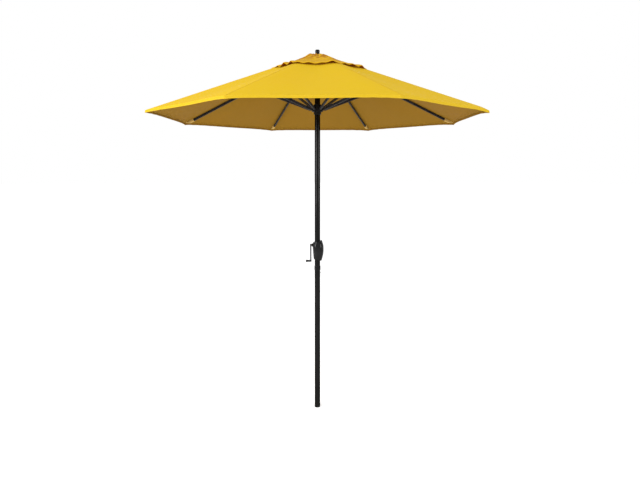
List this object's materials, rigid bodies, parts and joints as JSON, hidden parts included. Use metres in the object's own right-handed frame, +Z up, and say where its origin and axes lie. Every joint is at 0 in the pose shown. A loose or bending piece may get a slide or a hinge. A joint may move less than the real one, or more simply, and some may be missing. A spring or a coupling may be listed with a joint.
{
  "type": "market umbrella",
  "caption": "Octagonal market umbrella with a crank lift, a single wind vent and a two-piece pole, shown open.",
  "frame": {"origin": "centre of the pole's lower end", "axes": "+Z up the pole; -Y the front, which the crank housing's seam faces; the crank is on -X"},
  "size_m": [2.112, 2.112, 2.4927],
  "materials": {
    "pole_bronze": "dark bronze anodised, satin",
    "bare_aluminium": "mill finish",
    "black_plastic": "moulded, fine grain",
    "gloss_black_plastic": "moulded, glossy",
    "black_enamel": "semi-gloss enamel",
    "rib_enamel": "powder coated, satin",
    "zinc_steel": "zinc plated",
    "nylon": "natural nylon",
    "cord": "braided",
    "canopy_cloth": "plain weave canvas, water repellent"
  },
  "bodies": {
    "pole": {"lower_pole": "pole_bronze", "upper_pole": "pole_bronze", "pole_end_cap": "black_plastic", "joint_collar": "black_plastic", "pole_insert": "bare_aluminium", "snap_spring": "zinc_steel", "crank_housing_left": "gloss_black_plastic", "crank_housing_right": "gloss_black_plastic", "housing_screws": "zinc_steel", "crank_bushes": "nylon", "brake_spring": "zinc_steel", "top_hub": "black_plastic", "hub_pins": "zinc_steel", "finial": "gloss_black_plastic", "pulley_pin": "zinc_steel", "lift_cord_rise": "cord", "lift_cord_fall": "cord", "vent_cap": "canopy_cloth"},
    "snap_button": {"snap_button": "zinc_steel"},
    "crank": {"crank_shaft": "zinc_steel", "winding_spool": "nylon", "lift_cord_coil": "cord", "crank_arm": "black_enamel", "knob_pin": "zinc_steel"},
    "knob": {"crank_knob": "gloss_black_plastic"},
    "pulley": {"cord_pulley": "nylon"},
    "runner": {"runner": "black_plastic", "runner_pins": "zinc_steel"},
    "rib_1": {"rib_1": "rib_enamel", "rib_fittings_1": "black_plastic", "canopy_panel_1": "canopy_cloth"},
    "strut_1": {"strut_1": "rib_enamel"},
    "rib_2": {"rib_2": "rib_enamel", "rib_fittings_2": "black_plastic", "canopy_panel_2": "canopy_cloth"},
    "strut_2": {"strut_2": "rib_enamel"},
    "rib_3": {"rib_3": "rib_enamel", "rib_fittings_3": "black_plastic", "canopy_panel_3": "canopy_cloth"},
    "strut_3": {"strut_3": "rib_enamel"},
    "rib_4": {"rib_4": "rib_enamel", "rib_fittings_4": "black_plastic", "canopy_panel_4": "canopy_cloth"},
    "strut_4": {"strut_4": "rib_enamel"},
    "rib_5": {"rib_5": "rib_enamel", "rib_fittings_5": "black_plastic", "canopy_panel_5": "canopy_cloth"},
    "strut_5": {"strut_5": "rib_enamel"},
    "rib_6": {"rib_6": "rib_enamel", "rib_fittings_6": "black_plastic", "canopy_panel_6": "canopy_cloth"},
    "strut_6": {"strut_6": "rib_enamel"},
    "rib_7": {"rib_7": "rib_enamel", "rib_fittings_7": "black_plastic", "canopy_panel_7": "canopy_cloth"},
    "strut_7": {"strut_7": "rib_enamel"},
    "rib_8": {"rib_8": "rib_enamel", "rib_fittings_8": "black_plastic", "canopy_panel_8": "canopy_cloth"},
    "strut_8": {"strut_8": "rib_enamel"}
  },
  "joints": [
    {"name": "canopy_fold", "type": "hinge", "parent": "pole", "child": "rib_1", "pos_m": [0.03141, 0.01301, 2.425], "axis": [-0.3827, 0.9239, 0], "range_deg": [0, 62], "deforming": ["canopy_panel_1", "vent_cap", "lift_cord_fall"]},
    {"name": "rib_2_fold", "type": "hinge", "parent": "pole", "child": "rib_2", "pos_m": [0.01301, 0.03141, 2.425], "axis": [-0.9239, 0.3827, 0], "range_deg": [0, 62], "deforming": ["canopy_panel_2"]},
    {"name": "rib_3_fold", "type": "hinge", "parent": "pole", "child": "rib_3", "pos_m": [-0.01301, 0.03141, 2.425], "axis": [-0.9239, -0.3827, 0], "range_deg": [0, 62], "deforming": ["canopy_panel_3"]},
    {"name": "rib_4_fold", "type": "hinge", "parent": "pole", "child": "rib_4", "pos_m": [-0.03141, 0.01301, 2.425], "axis": [-0.3827, -0.9239, 0], "range_deg": [0, 62], "deforming": ["canopy_panel_4"]},
    {"name": "rib_5_fold", "type": "hinge", "parent": "pole", "child": "rib_5", "pos_m": [-0.03141, -0.01301, 2.425], "axis": [0.3827, -0.9239, 0], "range_deg": [0, 62], "deforming": ["canopy_panel_5"]},
    {"name": "rib_6_fold", "type": "hinge", "parent": "pole", "child": "rib_6", "pos_m": [-0.01301, -0.03141, 2.425], "axis": [0.9239, -0.3827, 0], "range_deg": [0, 62], "deforming": ["canopy_panel_6"]},
    {"name": "rib_7_fold", "type": "hinge", "parent": "pole", "child": "rib_7", "pos_m": [0.01301, -0.03141, 2.425], "axis": [0.9239, 0.3827, 0], "range_deg": [0, 62], "deforming": ["canopy_panel_7"]},
    {"name": "rib_8_fold", "type": "hinge", "parent": "pole", "child": "rib_8", "pos_m": [0.03141, -0.01301, 2.425], "axis": [0.3827, 0.9239, 0], "range_deg": [0, 62], "deforming": ["canopy_panel_8"]},
    {"name": "strut_1_hinge", "type": "hinge", "parent": "rib_1", "child": "strut_1", "pos_m": [0.4531, 0.18768, 2.24676], "axis": [-0.3827, 0.9239, 0], "range_deg": [-124, 0]},
    {"name": "strut_2_hinge", "type": "hinge", "parent": "rib_2", "child": "strut_2", "pos_m": [0.18768, 0.4531, 2.24676], "axis": [-0.9239, 0.3827, 0], "range_deg": [-124, 0]},
    {"name": "strut_3_hinge", "type": "hinge", "parent": "rib_3", "child": "strut_3", "pos_m": [-0.18768, 0.4531, 2.24676], "axis": [-0.9239, -0.3827, 0], "range_deg": [-124, 0]},
    {"name": "strut_4_hinge", "type": "hinge", "parent": "rib_4", "child": "strut_4", "pos_m": [-0.4531, 0.18768, 2.24676], "axis": [-0.3827, -0.9239, 0], "range_deg": [-124, 0]},
    {"name": "strut_5_hinge", "type": "hinge", "parent": "rib_5", "child": "strut_5", "pos_m": [-0.4531, -0.18768, 2.24676], "axis": [0.3827, -0.9239, 0], "range_deg": [-124, 0]},
    {"name": "strut_6_hinge", "type": "hinge", "parent": "rib_6", "child": "strut_6", "pos_m": [-0.18768, -0.4531, 2.24676], "axis": [0.9239, -0.3827, 0], "range_deg": [-124, 0]},
    {"name": "strut_7_hinge", "type": "hinge", "parent": "rib_7", "child": "strut_7", "pos_m": [0.18768, -0.4531, 2.24676], "axis": [0.9239, 0.3827, 0], "range_deg": [-124, 0]},
    {"name": "strut_8_hinge", "type": "hinge", "parent": "rib_8", "child": "strut_8", "pos_m": [0.4531, -0.18768, 2.24676], "axis": [0.3827, 0.9239, 0], "range_deg": [-124, 0]},
    {"name": "runner_travel", "type": "hinge", "parent": "strut_1", "child": "runner", "pos_m": [0.03141, 0.01301, 2.06852], "axis": [-0.3827, 0.9239, 0], "range_deg": [0, 62]},
    {"name": "crank_turn", "type": "hinge", "parent": "pole", "child": "crank", "pos_m": [0, 0, 1.127], "axis": [1, 0, 0], "range_deg": [0, 3571.2]},
    {"name": "pulley_turn", "type": "hinge", "parent": "pole", "child": "pulley", "pos_m": [0, 0.0185, 2.37], "axis": [-1, 0, 0], "range_deg": [0, 7215]},
    {"name": "knob_spin", "type": "hinge", "parent": "crank", "child": "knob", "pos_m": [-0.0465, 0, 1.016], "axis": [1, 0, 0], "continuous": true},
    {"name": "snap_button_press", "type": "slide", "parent": "pole", "child": "snap_button", "axis": [-1, 0, 0], "range_m": [0, 0.0064], "stiffness_N_per_m": 900, "springref_m": -0.004, "deforming": ["snap_spring"]}
  ],
  "couplings": [
    {"joint": "rib_2_fold", "follows": "canopy_fold", "ratio": 1},
    {"joint": "rib_3_fold", "follows": "canopy_fold", "ratio": 1},
    {"joint": "rib_4_fold", "follows": "canopy_fold", "ratio": 1},
    {"joint": "rib_5_fold", "follows": "canopy_fold", "ratio": 1},
    {"joint": "rib_6_fold", "follows": "canopy_fold", "ratio": 1},
    {"joint": "rib_7_fold", "follows": "canopy_fold", "ratio": 1},
    {"joint": "rib_8_fold", "follows": "canopy_fold", "ratio": 1},
    {"joint": "strut_1_hinge", "follows": "canopy_fold", "ratio": -2},
    {"joint": "strut_2_hinge", "follows": "canopy_fold", "ratio": -2},
    {"joint": "strut_3_hinge", "follows": "canopy_fold", "ratio": -2},
    {"joint": "strut_4_hinge", "follows": "canopy_fold", "ratio": -2},
    {"joint": "strut_5_hinge", "follows": "canopy_fold", "ratio": -2},
    {"joint": "strut_6_hinge", "follows": "canopy_fold", "ratio": -2},
    {"joint": "strut_7_hinge", "follows": "canopy_fold", "ratio": -2},
    {"joint": "strut_8_hinge", "follows": "canopy_fold", "ratio": -2},
    {"joint": "runner_travel", "follows": "canopy_fold", "ratio": 1},
    {"joint": "crank_turn", "follows": "canopy_fold", "ratio": 57.6},
    {"joint": "pulley_turn", "follows": "canopy_fold", "ratio": 116.36}
  ]
}
